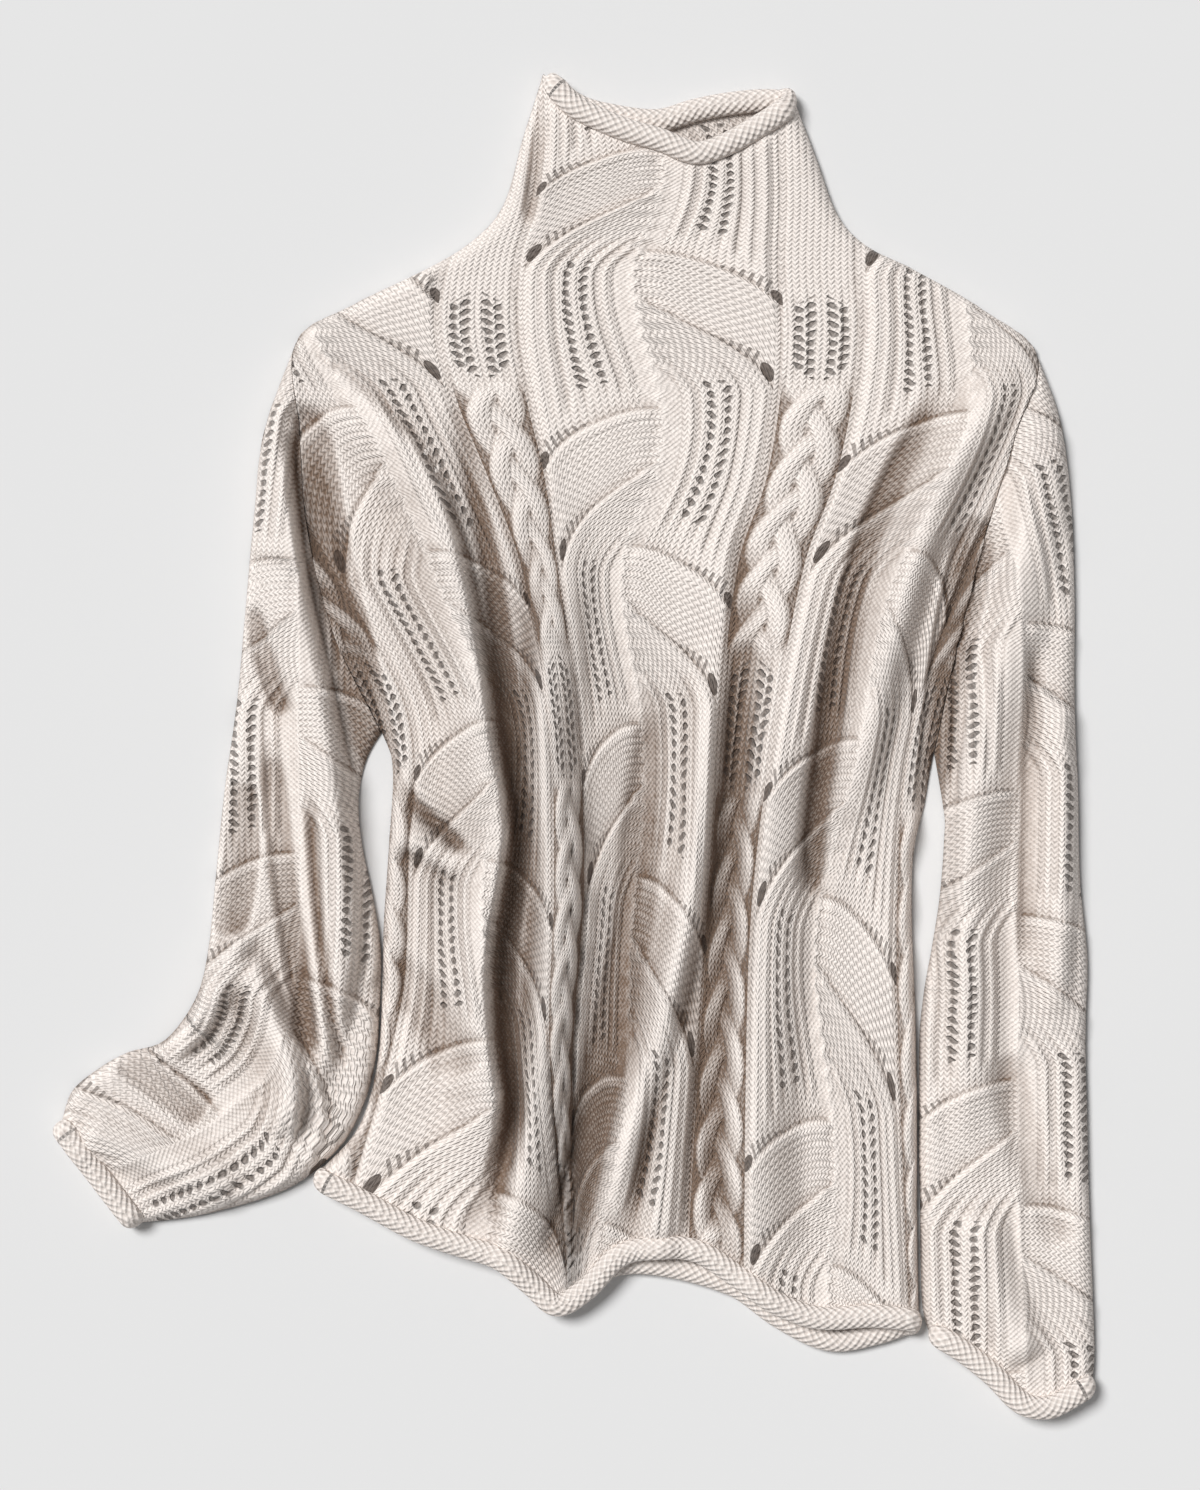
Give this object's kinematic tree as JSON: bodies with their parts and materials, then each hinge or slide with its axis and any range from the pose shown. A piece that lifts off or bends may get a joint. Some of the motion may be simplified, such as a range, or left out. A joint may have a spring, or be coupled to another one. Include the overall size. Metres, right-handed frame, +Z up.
{
  "type": "cable knit sweater",
  "caption": "Long-sleeved pullover in cable and leaf lace knit with a funnel neck and rolled edges, laid flat, face up, in soft folds.",
  "frame": {"origin": "centre of the laid garment's bounding box, on the surface that it lies on", "axes": "+Y towards the neck, +X to the right seen from above with the neck away from the viewer, +Z up off the surface"},
  "size_m": [0.5762, 0.7241, 0.0337],
  "materials": {
    "knit": "soft matte oatmeal wool blend, cable and leaf lace knit",
    "rolled_edge": "soft matte oatmeal wool blend, rolled reverse stocking stitch"
  },
  "bodies": {
    "root": {"front": "knit", "back": "knit", "sleeve_left_upper": "knit", "sleeve_left_lower": "knit", "sleeve_right_upper": "knit", "sleeve_right_lower": "knit", "collar_roll": "rolled_edge", "hem_roll": "rolled_edge", "cuff_roll_left": "rolled_edge", "cuff_roll_right": "rolled_edge"}
  },
  "joints": []
}
